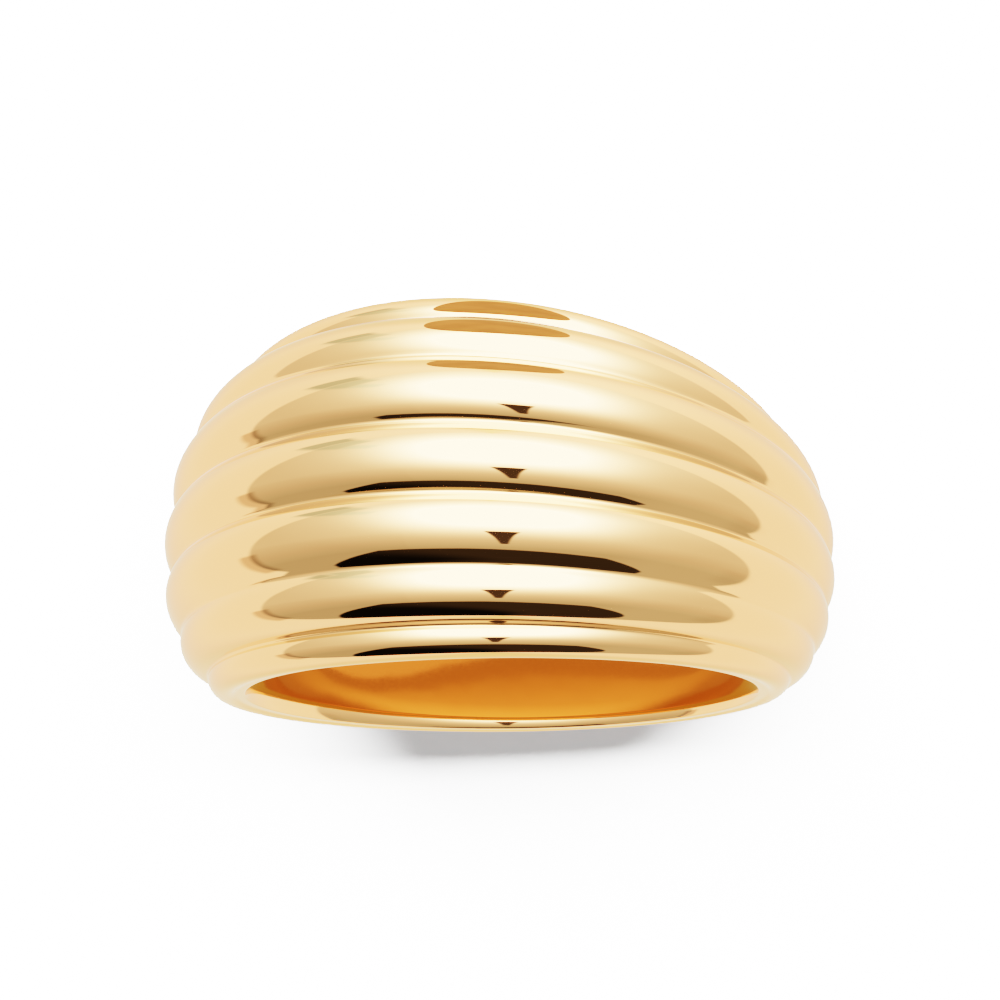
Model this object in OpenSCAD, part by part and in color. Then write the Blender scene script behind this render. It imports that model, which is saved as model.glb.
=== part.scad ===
// Dome ring: one cast finger ring. Seven rounded ridges run round the finger, side by side.
// They are widest and highest over the dome at the front and shallow along the shank at the back.
// The ring lies on its side, as it would by itself, with the dome towards -Y.
// The origin is the centre of the finger hole.

/* [Finger hole] */
// Diameter of the finger hole
bore_d = 17.3; // [14:0.1:22]

/* [Outline] */
// Width across all the ridges at the front, over the dome
front_w = 12.9; // [9:0.1:16]
// Width across all the ridges at the back of the shank
back_w = 4.9; // [3:0.1:8]
// Thickness of the wall at each rim, where the outermost ridge starts
rim_wall = 0.35; // [0.2:0.05:1]
// Rise of the crown above the rim at the front
front_rise = 2.8; // [1:0.1:4]
// Rise of the crown above the rim on each side of the finger
side_rise = 2.1; // [0.8:0.1:3]
// Rise of the crown above the rim at the back
back_rise = 1.1; // [0.4:0.1:2]

/* [Ridges] */
// Fullness of the ridges at the back, as a share of their fullness at the front
back_fullness = 0.6; // [0.2:0.05:1]

/* [Hidden] */

// Grooves of one half, from the rim to the middle: [share of the half width, share of the rise]
GROOVES = [[0.88, 0.405], [0.60, 0.81], [0.205, 0.95]];
// Ridges of one half, from the rim to the middle: how steeply each one rises from the line
// between its grooves, as [angle on its outer side, angle on its inner side, facets]
RIDGES = [[82, 75, 10], [56, 56, 8], [47, 58, 8], [53, 53, 8]];
// Steps round the finger
STEPS = 90;
// The cutter of the finger hole is longer than the ring is wide
CUTTER_SPARE = 4;
// Facets of the finger hole in a mesh
HOLE_FACETS = 180;

bore_r = bore_d / 2;

// Value at an angle from the front, from its values at the front, the side and the back
function around(front, side, back, a) =
    side + (front - back) / 2 * cos(a) + ((front + back) / 2 - side) * cos(a) * cos(a);

// Shares of both rims and all the grooves, from the lower rim to the upper one
function shares() = concat(
    [[-1, 0]], [for (g = GROOVES) [-g[0], g[1]]],
    [for (i = [len(GROOVES) - 1 : -1 : 0]) GROOVES[i]], [[1, 0]]);

// All the ridges, from the lower rim to the upper one
function all_ridges() = concat(
    RIDGES,
    [for (i = [len(RIDGES) - 2 : -1 : 0]) [RIDGES[i][1], RIDGES[i][0], RIDGES[i][2]]]);

// Points [radius, height] of one ridge, without its last point: a smooth curve from groove p to
// groove q, which leaves the line between them at one angle and comes back to it at another
function ridge_curve(p, q, angle_p, angle_q, facets) =
    let (
        chord = norm(q - p),
        along = (q - p) / chord,
        outward = [along[1], -along[0]],
        arm = chord / (3 * pow(cos((angle_p + angle_q) / 4), 2)),
        from_p = p + arm * (cos(angle_p) * along + sin(angle_p) * outward),
        to_q = q - arm * (cos(angle_q) * along - sin(angle_q) * outward))
    [for (i = [0 : facets - 1])
        let (t = i / facets, s = 1 - t)
        s * s * s * p + 3 * s * s * t * from_p + 3 * s * t * t * to_q + t * t * t * q];

// Section at an angle from the front, before the rims are made flat
function raw_section(a) =
    let (
        half_w = around(front_w, (front_w + back_w) / 2, back_w, a) / 2,
        rise = around(front_rise, side_rise, back_rise, a),
        full = 1 - (1 - back_fullness) * (1 - cos(a)) / 2,
        grooves = [for (s = shares()) [bore_r + rim_wall + rise * s[1], half_w * s[0]]],
        ridges = all_ridges())
    concat(
        [for (i = [0 : len(ridges) - 1])
            each ridge_curve(grooves[i], grooves[i + 1],
                ridges[i][0] * full, ridges[i][1] * full, ridges[i][2])],
        [grooves[len(ridges)]]);

// Highest point [radius, height] of a section: the ring's edge there
function edge_of(section) =
    let (top = max([for (p = section) p[1]]))
    [for (p = section) if (p[1] == top) p][0];

// Each edge lies in one slanted plane, through its front and back points
front_edge_r = edge_of(raw_section(0))[0];
back_edge_r = edge_of(raw_section(180))[0];
edge_slope = (front_w - back_w) / 2 / (front_edge_r + back_edge_r);
edge_level = front_w / 2 - edge_slope * front_edge_r;

// Section at an angle from the front, with its heights fitted to the slanted planes
function section(a) =
    let (
        raw = raw_section(a),
        edge = edge_of(raw),
        fit = (edge_level + edge_slope * edge[0] * cos(a)) / edge[1])
    [for (p = raw) [p[0], p[1] * fit]];

// The ring lies on its lower edge, which tips the finger hole back by this angle
rest_tilt = atan(edge_slope);

// Outer body without the finger hole: sections round the axis, closed by a fan at each end
module outer_body() {
    sections = [for (k = [0 : STEPS - 1]) section(360 * k / STEPS)];
    count = len(sections[0]);
    points = concat(
        [for (k = [0 : STEPS - 1], p = sections[k])
            let (a = 360 * k / STEPS) [p[0] * sin(a), -p[0] * cos(a), p[1]]],
        [[0, 0, -edge_level], [0, 0, edge_level]]);
    bottom = STEPS * count;
    top = bottom + 1;
    faces = concat(
        [for (k = [0 : STEPS - 1], i = [0 : count - 2], half = [0, 1])
            let (
                here = k * count + i,
                next = (k + 1) % STEPS * count + i)
            half == 0 ? [here, here + 1, next + 1] : [here, next + 1, next]],
        [for (k = [0 : STEPS - 1]) [bottom, k * count, (k + 1) % STEPS * count]],
        [for (k = [0 : STEPS - 1])
            [top, (k + 1) % STEPS * count + count - 1, k * count + count - 1]]);
    polyhedron(points, faces);
}

module ring() {
    color("gold")
    rotate([-rest_tilt, 0, 0])
    difference() {
        outer_body();
        cylinder(r = bore_r, h = front_w + CUTTER_SPARE, center = true, $fn = HOLE_FACETS);
    }
}

ring();
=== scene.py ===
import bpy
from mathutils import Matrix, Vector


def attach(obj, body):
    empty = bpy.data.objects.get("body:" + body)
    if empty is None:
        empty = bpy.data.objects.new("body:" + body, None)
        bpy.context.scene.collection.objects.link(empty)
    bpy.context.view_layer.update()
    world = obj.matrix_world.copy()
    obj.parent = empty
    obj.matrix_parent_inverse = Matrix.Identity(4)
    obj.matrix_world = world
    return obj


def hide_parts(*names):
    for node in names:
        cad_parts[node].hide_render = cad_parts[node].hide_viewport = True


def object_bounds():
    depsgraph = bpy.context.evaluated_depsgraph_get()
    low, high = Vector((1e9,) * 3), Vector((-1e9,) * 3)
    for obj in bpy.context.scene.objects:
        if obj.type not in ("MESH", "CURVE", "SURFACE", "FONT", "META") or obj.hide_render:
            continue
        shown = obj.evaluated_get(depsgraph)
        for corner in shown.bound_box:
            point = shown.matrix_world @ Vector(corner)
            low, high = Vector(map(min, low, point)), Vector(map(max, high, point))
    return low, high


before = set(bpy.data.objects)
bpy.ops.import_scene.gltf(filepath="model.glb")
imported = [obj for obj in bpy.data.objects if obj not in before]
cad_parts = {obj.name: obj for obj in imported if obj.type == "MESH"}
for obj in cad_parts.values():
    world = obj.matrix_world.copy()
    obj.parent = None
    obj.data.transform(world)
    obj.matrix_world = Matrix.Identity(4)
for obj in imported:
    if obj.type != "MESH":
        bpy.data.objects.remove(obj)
cad_box = [list(corner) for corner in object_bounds()]

import math

import bpy
import numpy as np
from mathutils import Matrix, Vector

MM = 0.001

# The ring's named sizes, in millimetres, as in the part's source
BORE_D = 17.3
FRONT_W, BACK_W = 12.9, 4.9
RIM_WALL = 0.35
FRONT_RISE, SIDE_RISE, BACK_RISE = 2.8, 2.1, 1.1
BACK_FULLNESS = 0.6
# Grooves of one half, from the rim to the middle: share of the half width, share of the rise
GROOVES = ((0.88, 0.405), (0.60, 0.81), (0.205, 0.95))
# Ridges of one half, from the rim to the middle: how steeply each one rises from the line between
# its grooves, on its outer side and on its inner side, in degrees
RIDGES = ((82, 75), (56, 56), (47, 58), (53, 53))

# Fineness of the shown mesh: steps round the finger, points on each ridge, points across the bore
STEPS = 420
RIDGE_POINTS = 27
BORE_POINTS = 12
# Points across each flat rim
RIM_POINTS = 6
# Softening of the grooves and edges by polishing, as a standard deviation along the section, how
# far the average reaches, in such deviations, and the step that it is worked out in, in mm
POLISH = 0.045
POLISH_REACH = 4
POLISH_STEP = 0.01


def around(front, side, back, a):
    """Value at an angle from the front, from its values at the front, the side and the back."""
    c = np.cos(a)
    return side + (front - back) / 2 * c + ((front + back) / 2 - side) * c * c


def groove_shares():
    lower = [(-w, rise) for w, rise in GROOVES]
    return [(-1, 0)] + lower + list(reversed(GROOVES)) + [(1, 0)]


def ridge_curve(p, q, angle_p, angle_q):
    """A smooth curve from groove p to groove q, without its last point: it leaves the line between
    them at one angle and comes back to it at another."""
    chord = np.linalg.norm(q - p)
    along = (q - p) / chord
    outward = np.array((along[1], -along[0]))
    arm = chord / (3 * math.cos((angle_p + angle_q) / 4) ** 2)
    from_p = p + arm * (math.cos(angle_p) * along + math.sin(angle_p) * outward)
    to_q = q - arm * (math.cos(angle_q) * along - math.sin(angle_q) * outward)
    t = np.linspace(0, 1, RIDGE_POINTS + 1)[:-1, None]
    s = 1 - t
    return s**3 * p + 3 * s**2 * t * from_p + 3 * s * t**2 * to_q + t**3 * q


def raw_section(a):
    """Points (radius, height) of all the ridges at angle a, before the rims are made flat."""
    half_w = around(FRONT_W, (FRONT_W + BACK_W) / 2, BACK_W, a) / 2
    rise = around(FRONT_RISE, SIDE_RISE, BACK_RISE, a)
    full = 1 - (1 - BACK_FULLNESS) * (1 - math.cos(a)) / 2
    grooves = [np.array((BORE_D / 2 + RIM_WALL + rise * r, half_w * w)) for w, r in groove_shares()]
    ridges = RIDGES + tuple((inner, outer) for outer, inner in RIDGES[-2::-1])
    curves = []
    for p, q, angles in zip(grooves, grooves[1:], ridges):
        curves.append(ridge_curve(p, q, *np.radians(angles) * full))
    return np.vstack(curves + [grooves[-1:]])


def edge_of(section):
    return section[section[:, 1].argmax()]


FRONT_EDGE, BACK_EDGE = edge_of(raw_section(0)), edge_of(raw_section(math.pi))
EDGE_SLOPE = (FRONT_W - BACK_W) / 2 / (FRONT_EDGE[0] + BACK_EDGE[0])
EDGE_LEVEL = FRONT_W / 2 - EDGE_SLOPE * FRONT_EDGE[0]
REST_TILT = math.atan(EDGE_SLOPE)


def section(a):
    """The closed section at angle a: the ridges, the upper rim, the bore and the lower rim."""
    ridges = raw_section(a)
    edge = edge_of(ridges)
    ridges[:, 1] *= (EDGE_LEVEL + EDGE_SLOPE * edge[0] * math.cos(a)) / edge[1]
    bore_r = BORE_D / 2
    end = ridges[-1]
    bore_z = EDGE_LEVEL + (end[1] - EDGE_LEVEL) * bore_r / end[0]
    rim = np.linspace(end, (bore_r, bore_z), RIM_POINTS + 1)[1:]
    bore = np.linspace((bore_r, bore_z), (bore_r, -bore_z), BORE_POINTS + 1)[1:]
    lower = rim[-2::-1] * (1, -1)
    return np.vstack([ridges, rim, bore, lower])


def polished(loop):
    """The section with its grooves and edges softened: a running average along its length."""
    closed = np.vstack([loop, loop[:1]])
    length = np.concatenate([[0], np.cumsum(np.linalg.norm(np.diff(closed, axis=0), axis=1))])
    fine = np.arange(0, length[-1], POLISH_STEP)
    even = np.stack([np.interp(fine, length, closed[:, k]) for k in (0, 1)], 1)
    reach = int(POLISH_REACH * POLISH / POLISH_STEP)
    weight = np.exp(-0.5 * (np.arange(-reach, reach + 1) * POLISH_STEP / POLISH) ** 2)
    weight /= weight.sum()
    wrapped = np.vstack([even[-reach:], even, even[:reach]])
    soft = np.stack([np.convolve(wrapped[:, k], weight, mode="valid") for k in (0, 1)], 1)
    soft = np.vstack([soft, soft[:1]])
    at = np.append(fine, length[-1])
    return np.stack([np.interp(length[:-1], at, soft[:, k]) for k in (0, 1)], 1)


def build_ring(materials):
    """The ring's shown surface: sections round the axis, tipped to its resting pose."""
    loops = [polished(section(2 * math.pi * k / STEPS)) for k in range(STEPS)]
    count = len(loops[0])
    tip = Matrix.Rotation(-REST_TILT, 3, "X")
    verts = []
    for k, loop in enumerate(loops):
        a = 2 * math.pi * k / STEPS
        for r, z in loop:
            verts.append(tip @ (Vector((r * math.sin(a), -r * math.cos(a), z)) * MM))
    faces = []
    for k in range(STEPS):
        here, there = k * count, (k + 1) % STEPS * count
        for i in range(count):
            j = (i + 1) % count
            faces.append((here + i, here + j, there + j, there + i))
    mesh = bpy.data.meshes.new("ring_surface")
    mesh.from_pydata(verts, [], faces)
    for m in materials:
        mesh.materials.append(m)
    bore_from = (2 * len(RIDGES) - 1) * RIDGE_POINTS + RIM_POINTS
    bore = range(bore_from, bore_from + BORE_POINTS)
    for n, face in enumerate(mesh.polygons):
        face.use_smooth = True
        face.material_index = int(n % count in bore)
    mesh.update()
    ring = bpy.data.objects.new("gold_ring", mesh)
    bpy.context.scene.collection.objects.link(ring)
    return ring


# Range that the noise textures mostly stay in
NOISE_RANGE = (0.3, 0.7)


class Tree:
    """Short calls for adding nodes to a shader tree."""

    def __init__(self, tree):
        self.tree = tree
        tree.nodes.clear()

    def add(self, kind, inputs=None, **settings):
        node = self.tree.nodes.new("ShaderNode" + kind)
        for name, value in settings.items():
            setattr(node, name, value)
        for name, value in (inputs or {}).items():
            self.set(node.inputs[name], value)
        return node

    def set(self, socket, value):
        if isinstance(value, bpy.types.NodeSocket):
            self.tree.links.new(value, socket)
        else:
            socket.default_value = value

    def math(self, operation, *values):
        node = self.add("Math", operation=operation)
        for socket, value in zip(node.inputs, values):
            self.set(socket, value)
        return node.outputs[0]

    def dot(self, vector, constant):
        node = self.add("VectorMath", operation="DOT_PRODUCT")
        self.set(node.inputs[0], vector)
        self.set(node.inputs[1], tuple(constant))
        return node.outputs["Value"]

    def ramp(self, value, start, end, low=0.0, high=1.0, smooth=True):
        """Goes from low to high while value goes from start to end, and stays there."""
        kind = "SMOOTHSTEP" if smooth else "LINEAR"
        names = ("Value", "From Min", "From Max", "To Min", "To Max")
        values = (value, start, end, low, high)
        node = self.add("MapRange", dict(zip(names, values)), interpolation_type=kind)
        return node.outputs[0]

    def mix(self, share, a, b):
        """Blends two numbers."""
        node = self.add("Mix", data_type="FLOAT")
        self.set(node.inputs["Factor"], share)
        self.set(node.inputs[2], a)
        self.set(node.inputs[3], b)
        return node.outputs[0]

    def mix_colour(self, share, a, b):
        """Blends two colours, each one a socket or red, green and blue."""
        node = self.add("Mix", data_type="RGBA")
        a, b = (c if isinstance(c, bpy.types.NodeSocket) else (*c, 1) for c in (a, b))
        self.set(node.inputs["Factor"], share)
        self.set(node.inputs[6], a)
        self.set(node.inputs[7], b)
        return node.outputs[2]

    def mix_shader(self, share, a, b):
        """Blends the shaders of two nodes."""
        node = self.add("MixShader", {"Fac": share})
        self.set(node.inputs[1], a.outputs[0])
        self.set(node.inputs[2], b.outputs[0])
        return node

    def output(self, shader, kind="OutputMaterial"):
        self.set(self.add(kind).inputs["Surface"], shader.outputs[0])


def new_material(name):
    material = bpy.data.materials.new(name)
    material.use_nodes = True
    return material, Tree(material.node_tree)


# Camera, fitted to the photo: angles of its view in degrees, its distance and the nearest and farthest
# that it shows in metres, its scale, and the pixel where the hole's centre shows
VIEW_ELEVATION, VIEW_LEAN, VIEW_ROLL = 70.64, 21.67, 3.95
CAMERA_DISTANCE = 1.0
CAMERA_CLIP = (0.05, 20)
PIXELS_PER_MM = 29.48
HOLE_CENTRE = (510.2, 572.6)
# Width of the picture in pixels, and of the sensor in mm
FRAME_PIXELS = 1000
SENSOR = 36.0


def view_axes():
    """Right, up and backward axes of the camera, from its angles to the upright ring."""
    e, lean, roll = map(math.radians, (VIEW_ELEVATION, VIEW_LEAN, VIEW_ROLL))
    back = Vector((math.sin(e) * math.sin(lean), -math.cos(e), math.sin(e) * math.cos(lean)))
    right = Vector((math.cos(lean), 0, -math.sin(lean)))
    up = back.cross(right)
    right, up = (
        math.cos(roll) * right + math.sin(roll) * up,
        math.cos(roll) * up - math.sin(roll) * right,
    )
    # Upright ring, dome up and hole towards -Y, to the lying one, dome towards -Y and hole up
    lying = Matrix(((-1, 0, 0), (0, 0, -1), (0, -1, 0)))
    turn = Matrix.Rotation(-REST_TILT, 3, "X") @ lying
    return turn @ right, turn @ up, turn @ back


RIGHT, UP, BACK = view_axes()


def add_camera():
    data = bpy.data.cameras.new("camera")
    data.sensor_width = SENSOR
    data.lens = PIXELS_PER_MM / MM * CAMERA_DISTANCE * SENSOR / FRAME_PIXELS
    data.clip_start, data.clip_end = CAMERA_CLIP
    camera = bpy.data.objects.new("camera", data)
    mm_right = (FRAME_PIXELS / 2 - HOLE_CENTRE[0]) / PIXELS_PER_MM
    mm_up = (HOLE_CENTRE[1] - FRAME_PIXELS / 2) / PIXELS_PER_MM
    place = (RIGHT * mm_right + UP * mm_up) * MM + BACK * CAMERA_DISTANCE
    turn = Matrix((RIGHT, UP, BACK)).transposed().to_4x4()
    camera.matrix_world = Matrix.Translation(place) @ turn
    bpy.context.scene.collection.objects.link(camera)
    bpy.context.scene.camera = camera


# The studio round the ring, as the gold reflects it: light by direction. Directions are angles to
# the right (lon) and up (lat), in degrees, seen from the ring towards the camera.
# Lamp: height, half width and half height as tangents, roundness, light, and where its edge fades
LAMP_UP = 40
LAMP_HALF_W, LAMP_HALF_H, LAMP_ROUND = 0.49, 0.53, 2.6
LAMP_LIGHT = 10.0
LAMP_FADE = (1.04, 0.98)
# Glows round the lamp, each as (light at the lamp's edge, how fast it falls off)
GLOWS = ((8.8, 2.0), (0.6, 0.34))
# Second, softer light, nearly straight up: where it is, how wide it is and its light
SOFT_AT, SOFT_REACH, SOFT_LIGHT = (83, 80), 36, 1.7
# Room round the lamp. It gets darker from LOW_FROM to LOW_FULL, down to one share of its light on the
# left and another on the right, with the change between them at LEFT_TO_RIGHT
ROOM, ROOM_LOW_LEFT, ROOM_LOW_RIGHT = 1.04, 0.56, 0.64
LOW_FROM, LOW_FULL = -3, -35
LEFT_TO_RIGHT = (30, 60)
# Seam in the room's left part, the share of light left of it, and where it starts and is full
SEAM_AT, LEFT_OF_SEAM, SEAM_HEIGHTS = -33, 0.95, (0, -8)
# Tint of the room low down, near the dark gap, and where it starts and is full
LOW_TINT, LOW_TINT_HEIGHTS = (0.98, 1.08, 1.08), (-20, -34)
# Warm side walls, the light behind the ring, and where the one turns into the other, in light and tint
WALL_FROM, WALL_SOFT = 94, 1.5
WALL, BEHIND = 2.2, 1.6
BEHIND_SIDES, BEHIND_TINT_SIDES = (130, 170), (145, 180)
WALL_TINT, BEHIND_TINT = (1.0, 0.84, 0.8), (1.0, 0.92, 0.7)
# Dark gap below: the lines over it, each as (lon, lat there, slope), the softness of its edge, and its
# light on the left and on the right. The light changes along a slant: lon, and DARK_SLANT times lat
DARK_EDGES = ((-45, -36, 0.55), (-45, -36, -0.07), (36, -41.5, -0.65))
DARK_SOFT = 0.7
DARK_LEFT, DARK_RIGHT = 0.008, 0.047
DARK_SLANT, DARK_CHANGE = 1.5, (-127, -87)
# Gap for the lens: top, foot, half width at the top, light and softness of its edges. Its sides run
# inwards in a curve, as (share at the foot, straight share, share of the curve), and its power
LENS_TOP, LENS_FOOT, LENS_HALF_W, LENS_LIGHT = -1, -28, 6.2, 0.085
LENS_SOFT, LENS_FOOT_SOFT = 0.6, 1
LENS_SIDES, LENS_CURVE = (0.2, 0.45, 0.35), 3.5
# Darker patches: left and right side, foot and top, softness of the edges, share of the light left.
# The first three are one cool shape, which runs on from the warm wall
COOL_PATCHES, COOL_TINT = 3, (0.74, 1.0, 1.05)
PATCHES = (
    (-113, -95, 43, 58, 2, 0.4),
    (-95, -78, 43, 58, 2, 0.74),
    (-78, -60, 43, 50, 2, 0.88),
    (-99, -91, -42, -12, 2, 0.5),
    (83, 95, -44, -20, 5, 0.88),
)


def lamp_offset(t, direction):
    """How far a direction is from the lamp's middle: 1 at its edge, and large away from the lamp."""
    least_ahead, far_off = 0.02, 50.0
    e = math.radians(LAMP_UP)
    ahead = t.dot(direction, BACK * math.cos(e) + UP * math.sin(e))
    divide = t.math("MAXIMUM", ahead, least_ahead)
    lamp_up = UP * math.cos(e) - BACK * math.sin(e)
    x = t.math("DIVIDE", t.dot(direction, RIGHT / LAMP_HALF_W), divide)
    y = t.math("DIVIDE", t.dot(direction, lamp_up / LAMP_HALF_H), divide)
    powers = [t.math("POWER", t.math("ABSOLUTE", v), LAMP_ROUND) for v in (x, y)]
    off = t.math("POWER", t.math("ADD", *powers), 1 / LAMP_ROUND)
    is_behind = t.math("LESS_THAN", ahead, least_ahead)
    return t.math("ADD", off, t.math("MULTIPLY", is_behind, far_off))


def patch(t, lon, lat, left, right, foot, top, soft):
    """1 inside a box of directions and 0 outside it."""
    from_left = t.ramp(lon, left - soft, left + soft)
    from_right = t.ramp(lon, right + soft, right - soft)
    from_foot = t.ramp(lat, foot - soft, foot + soft)
    from_top = t.ramp(lat, top + soft, top - soft)
    sides = t.math("MULTIPLY", from_left, from_right)
    return t.math("MULTIPLY", sides, t.math("MULTIPLY", from_foot, from_top))


def lamp_glow(t, off):
    """Light round the lamp's edge, from how far a direction is off the lamp."""
    outside = t.math("MAXIMUM", t.math("SUBTRACT", off, 1.0), 0.0)
    parts = []
    for light, fall in GLOWS:
        share = t.math("EXPONENT", t.math("MULTIPLY", outside, -fall))
        parts.append(t.math("MULTIPLY", share, light))
    return t.math("ADD", *parts)


def soft_light(t, direction):
    """Second light: a wide, soft spot."""
    lon, lat = map(math.radians, SOFT_AT)
    axis = (RIGHT * math.sin(lon) + BACK * math.cos(lon)) * math.cos(lat) + UP * math.sin(lat)
    angle = t.math("DEGREES", t.math("ARCCOSINE", t.dot(direction, axis)))
    off = t.math("DIVIDE", angle, SOFT_REACH)
    share = t.math("EXPONENT", t.math("MULTIPLY", t.math("MULTIPLY", off, off), -1.0))
    return t.math("MULTIPLY", share, SOFT_LIGHT)


def room_light(t, lon, lat):
    """Room round the lamp, darker low down, with a seam on the left."""
    low = t.ramp(lon, *LEFT_TO_RIGHT, ROOM * ROOM_LOW_LEFT, ROOM * ROOM_LOW_RIGHT)
    room = t.mix(t.ramp(lat, LOW_FULL, LOW_FROM, smooth=False), low, ROOM)
    is_left = t.ramp(lon, SEAM_AT + 1, SEAM_AT - 1)
    left_of_seam = t.math("MULTIPLY", is_left, t.ramp(lat, *SEAM_HEIGHTS))
    return t.math("MULTIPLY", room, t.mix(left_of_seam, 1.0, LEFT_OF_SEAM))


def dark_gap(t, lon, lat):
    """1 in the dark gap below and 0 elsewhere, and the light in it."""
    edges = []
    for at, height, slope in DARK_EDGES:
        edges.append(t.math("MULTIPLY_ADD", lon, slope, height - slope * at))
    top = t.math("MINIMUM", t.math("MINIMUM", edges[0], edges[1]), edges[2])
    below = t.ramp(t.math("SUBTRACT", lat, top), DARK_SOFT, -DARK_SOFT)
    slant = t.math("MULTIPLY_ADD", lat, DARK_SLANT, lon)
    return below, t.ramp(slant, *DARK_CHANGE, DARK_LEFT, DARK_RIGHT)


def lens_gap(t, side, lat):
    """1 in the gap that the lens looks through and 0 elsewhere: narrower downwards."""
    rise = t.ramp(lat, LENS_FOOT, LENS_TOP, smooth=False)
    foot, straight, curved = (LENS_HALF_W * share for share in LENS_SIDES)
    width = t.math("MULTIPLY_ADD", rise, straight, foot)
    width = t.math("MULTIPLY_ADD", t.math("POWER", rise, LENS_CURVE), curved, width)
    inside = t.ramp(t.math("SUBTRACT", side, width), LENS_SOFT, -LENS_SOFT)
    under_top = t.ramp(lat, LENS_TOP + LENS_SOFT, LENS_TOP - LENS_SOFT)
    over_foot = t.ramp(lat, LENS_FOOT, LENS_FOOT + LENS_FOOT_SOFT)
    return t.math("MULTIPLY", t.math("MULTIPLY", inside, under_top), over_foot)


def studio_light(t, direction):
    """Tint and light of the studio in one direction."""
    x, y, z = (t.dot(direction, axis) for axis in (RIGHT, UP, BACK))
    lon = t.math("DEGREES", t.math("ARCTAN2", x, z))
    lat = t.math("DEGREES", t.math("ARCSINE", y))
    side = t.math("ABSOLUTE", lon)
    off = lamp_offset(t, direction)
    soft = soft_light(t, direction)

    room = t.math("ADD", t.math("ADD", room_light(t, lon, lat), lamp_glow(t, off)), soft)
    wall = t.math("ADD", t.ramp(side, *BEHIND_SIDES, WALL, BEHIND), soft)
    is_wall = t.ramp(side, WALL_FROM - WALL_SOFT, WALL_FROM + WALL_SOFT)
    light = t.mix(is_wall, room, wall)
    shades = []
    for *box, share in PATCHES:
        shades.append(patch(t, lon, lat, *box))
        light = t.math("MULTIPLY", light, t.mix(shades[-1], 1.0, share))
    below, dark = dark_gap(t, lon, lat)
    is_dark = t.math("MULTIPLY", below, t.math("SUBTRACT", 1.0, is_wall))
    light = t.mix(is_dark, light, dark)
    light = t.mix(t.ramp(off, *LAMP_FADE), light, LAMP_LIGHT)
    light = t.mix(lens_gap(t, side, lat), light, LENS_LIGHT)

    cool = 0.0
    for shade in shades[:COOL_PATCHES]:
        cool = t.math("MAXIMUM", cool, shade)
    walls = t.mix_colour(t.ramp(side, *BEHIND_TINT_SIDES), WALL_TINT, BEHIND_TINT)
    room_tint = t.mix_colour(t.ramp(lat, *LOW_TINT_HEIGHTS), (1, 1, 1), LOW_TINT)
    tint = t.mix_colour(is_wall, room_tint, walls)
    return t.mix_colour(cool, tint, COOL_TINT), light


def add_studio():
    """World light: soft panels for what the gold reflects, plain white for the rest."""
    world = bpy.data.worlds.new("studio")
    world.use_nodes = True
    t = Tree(world.node_tree)
    tint, light = studio_light(t, t.add("TexCoord").outputs["Generated"])
    path = t.add("LightPath")
    plain = t.mix(path.outputs["Is Camera Ray"], FLOOR_FILL, FLOOR_LIGHT)
    seen = t.add("Background", {"Color": tint, "Strength": light})
    fill = t.add("Background", {"Color": (1, 1, 1, 1), "Strength": plain})
    t.output(t.mix_shader(path.outputs["Is Glossy Ray"], fill, seen), "OutputWorld")
    world.cycles.sampling_method = "NONE"
    bpy.context.scene.world = world


# Floor: its brightness as shown, the even light on it, the share that it reflects, its change from
# grain to grain, and its size in metres
FLOOR_LIGHT = 20.0
FLOOR_FILL = 0.5
FLOOR_ALBEDO, FLOOR_GRAIN = 0.9, 0.01
FLOOR_SIZE = 8
# Key light: its direction from the ring, in degrees, and its distance, width and height in metres
KEY_AZIMUTH, KEY_ELEVATION = -20, 19.2
KEY_DISTANCE, KEY_W, KEY_H = 1.0, 0.84, 0.26


def add_floor():
    low = cad_box[0][2]
    bpy.ops.mesh.primitive_plane_add(size=FLOOR_SIZE, location=(0, 0, low))
    floor = bpy.context.object
    floor.name = "floor"
    floor.visible_glossy = False
    material, t = new_material("pale_floor")
    place = t.add("TexCoord").outputs["Object"]
    grain = t.add("TexNoise", {"Scale": 900.0, "Detail": 3.0, "Vector": place})
    least, most = FLOOR_ALBEDO - FLOOR_GRAIN, FLOOR_ALBEDO + FLOOR_GRAIN
    shade = t.ramp(grain.outputs[0], *NOISE_RANGE, least, most)
    colour = t.add("CombineColor", {"Red": shade, "Green": shade, "Blue": shade})
    paint = t.add("BsdfPrincipled", {"Base Color": colour.outputs[0], "Roughness": 0.9})
    paint.inputs["Specular IOR Level"].default_value = 0.0
    t.output(paint)
    floor.data.materials.append(material)


def add_key():
    """Soft light on the floor from the front, low enough for a shadow to show behind the ring. It is as
    strong as the floor's brightness asks."""
    light = bpy.data.lights.new("key", "AREA")
    light.shape = "ELLIPSE"
    light.size, light.size_y = KEY_W, KEY_H
    a, e = math.radians(KEY_AZIMUTH), math.radians(KEY_ELEVATION)
    place = Vector((math.sin(a) * math.cos(e), -math.cos(a) * math.cos(e), math.sin(e)))
    lit = (FLOOR_LIGHT - FLOOR_ALBEDO * FLOOR_FILL) * math.pi / FLOOR_ALBEDO
    light.energy = lit / math.sin(e) * math.pi * KEY_DISTANCE**2
    lamp = bpy.data.objects.new("key", light)
    lamp.location = place * KEY_DISTANCE
    lamp.rotation_euler = place.to_track_quat("Z", "Y").to_euler()
    lamp.visible_glossy = False
    bpy.context.scene.collection.objects.link(lamp)


# Floor under the ring, as the bore reflects it: a glowing disc of painted light, with painted shade
# that darkens it towards the bore's wall. Its radius in mm, its strength, the share of its light at
# some radii in mm, and the painted gold light that a ray meets there after one reflection
HOLE_FLOOR_R = 9.7
HOLE_STRENGTH = 2.0
HOLE_PAINTED_LIGHT = ((2.0, 0.9), (5.0, 0.55), (7.6, 0.28), (8.7, 0.25))
HOLE_PAINTED_GOLD_BOUNCE = (0.55, 0.26, 0.12)
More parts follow.
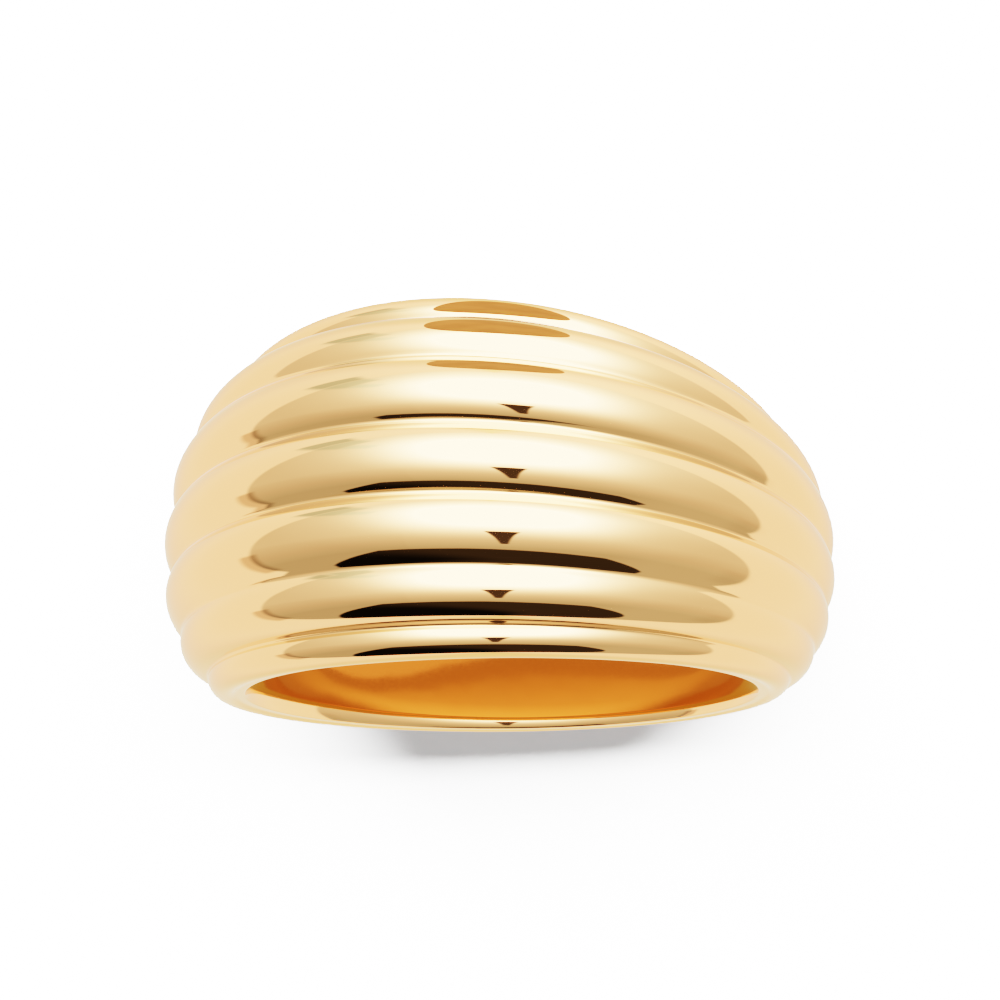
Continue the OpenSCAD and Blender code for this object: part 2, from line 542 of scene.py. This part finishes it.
# Something small beside the ring, seen as an orange ellipse in three of the ridges: its middle, as mm
# to the right, up and towards the camera from the hole's centre, its half width and depth, its light
# and how much that is mottled
NEARBY_AT, NEARBY_HALF = (-0.4, 10.0, 8.2), (3.0, 1.5)
NEARBY_LIGHT, NEARBY_MOTTLE = (0.77, 0.58, 0.41), 0.1
DISC_SIDES = 96


def add_reflected_disc(name, place, light_of):
    """A shining disc that shows only in reflections. It has radius 1 before it is put in its place, and
    light_of gives its colour and light."""
    bpy.ops.mesh.primitive_circle_add(vertices=DISC_SIDES, radius=1, fill_type="NGON")
    disc = bpy.context.object
    disc.name = name
    disc.matrix_world = place
    for kind in ("camera", "diffuse", "shadow", "transmission", "volume_scatter"):
        setattr(disc, "visible_" + kind, False)
    material, t = new_material(name)
    colour, light = light_of(t, t.add("TexCoord").outputs["Object"])
    t.output(t.add("Emission", {"Color": colour, "Strength": light}))
    disc.data.materials.append(material)


def hole_floor_painted_light(t, place):
    # Painted light and shade: the disc glows less towards the bore's wall, and gold after one
    # reflection
    share = t.add("VectorMath", {"Vector": place}, operation="LENGTH").outputs["Value"]
    ramp = t.add("ValToRGB", {"Fac": share})
    stops = ramp.color_ramp.elements
    while len(stops) < len(HOLE_PAINTED_LIGHT):
        stops.new(0.5)
    for stop, (radius, light) in zip(stops, HOLE_PAINTED_LIGHT):
        stop.position = radius / HOLE_FLOOR_R
        stop.color = (light, light, light, 1)
    after_one = t.math("LESS_THAN", t.add("LightPath").outputs["Glossy Depth"], 1.5)
    return t.mix_colour(after_one, ramp.outputs[0], HOLE_PAINTED_GOLD_BOUNCE), HOLE_STRENGTH


def nearby_light(t, place):
    mottle = t.add("TexNoise", {"Scale": 1.5, "Detail": 2.0, "Vector": place})
    light = t.ramp(mottle.outputs[0], *NOISE_RANGE, 1 - NEARBY_MOTTLE, 1 + NEARBY_MOTTLE)
    return (*NEARBY_LIGHT, 1), light


def add_reflected_things():
    low = cad_box[0][2]
    bore_axis = Vector((0, math.sin(REST_TILT), math.cos(REST_TILT)))
    foot = Matrix.Translation(bore_axis * (low / bore_axis.z))
    # The floor in the hole as a glowing disc with painted shade, shown only in reflections
    add_reflected_disc("hole_floor", foot @ Matrix.Scale(HOLE_FLOOR_R * MM, 4), hole_floor_painted_light)
    middle = sum((axis * mm for axis, mm in zip((RIGHT, UP, BACK), NEARBY_AT)), Vector())
    turn = Matrix((RIGHT, -BACK, UP)).transposed().to_4x4()
    stretch = Matrix.Diagonal((NEARBY_HALF[0] * MM, NEARBY_HALF[1] * MM, MM, 1))
    add_reflected_disc("nearby", Matrix.Translation(middle * MM) @ turn @ stretch, nearby_light)


# Colour of the gold, between two tints, and its tint towards the edges as seen
GOLD_TINTS = ((1.0, 0.465, 0.18), (1.0, 0.475, 0.19))
EDGE_TINT = (1.0, 0.95, 0.84)
# Painted reflection: gold as its later reflections show it, in other gold, is painted paler and a
# little darker
PAINTED_REFLECTION_GOLD = (0.88, 0.72, 0.58)
# Painted light: deep in a corner, seen through this many reflections or more, the gold is an even glow
# that stands in for the light there: one between the ridges, and another in the bore
DEEP_FROM = 3
GROOVE_PAINTED_GLOW, BORE_PAINTED_GLOW = (0.7, 0.9, 1.1), (0.6, 0.85, 0.8)
# Height of the waves left by polishing, in mm
WAVE_HEIGHT = 0.002


def gold(name, roughness, spread, pale_from, painted_deep_glow):
    """Polished yellow gold: fine scratches and a slight waviness left by polishing. Seen through
    pale_from reflections or more it is painted paler, a painted reflection, and through DEEP_FROM or
    more a painted glow stands in for the light there."""
    material, t = new_material(name)
    place = t.add("TexCoord").outputs["Object"]
    stain = t.add("TexNoise", {"Scale": 260.0, "Detail": 4.0, "Vector": place})
    tint = t.mix_colour(stain.outputs[0], *GOLD_TINTS)
    depth = t.add("LightPath").outputs["Glossy Depth"]
    # Painted reflection: from pale_from reflections on, the gold is painted paler
    is_pale = t.math("GREATER_THAN", depth, pale_from - 0.5)
    colour = t.mix_colour(is_pale, tint, PAINTED_REFLECTION_GOLD)
    scratch = t.add("TexNoise", {"Scale": 9000.0, "Detail": 6.0, "Vector": place})
    rough = t.ramp(scratch.outputs[0], *NOISE_RANGE, roughness - spread, roughness + spread)
    wave = t.add("TexNoise", {"Scale": 900.0, "Detail": 1.0, "Vector": place})
    bump = t.add("Bump", {"Strength": 1.0, "Distance": WAVE_HEIGHT * MM, "Height": wave.outputs[0]})
    metal = t.add("BsdfPrincipled", {"Base Color": colour, "Metallic": 1.0, "Roughness": rough})
    metal.inputs["Specular Tint"].default_value = (*EDGE_TINT, 1)
    t.set(metal.inputs["Normal"], bump.outputs[0])
    # Painted light: an even glow in place of the gold deep in corners
    glow = t.add("Emission", {"Color": (*painted_deep_glow, 1)})
    t.output(t.mix_shader(t.math("GREATER_THAN", depth, DEEP_FROM - 0.5), metal, glow))
    return material


add_camera()
outer_gold = gold("polished_gold", 0.035, 0.005, 1, GROOVE_PAINTED_GLOW)
inner_gold = gold("inner_gold", 0.06, 0.01, 2, BORE_PAINTED_GLOW)
ring = build_ring([outer_gold, inner_gold])
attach(ring, "root")
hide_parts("ring")
add_studio()
add_floor()
add_key()
add_reflected_things()
view = bpy.context.scene.view_settings
view.view_transform = "Filmic"
view.look = "High Contrast"
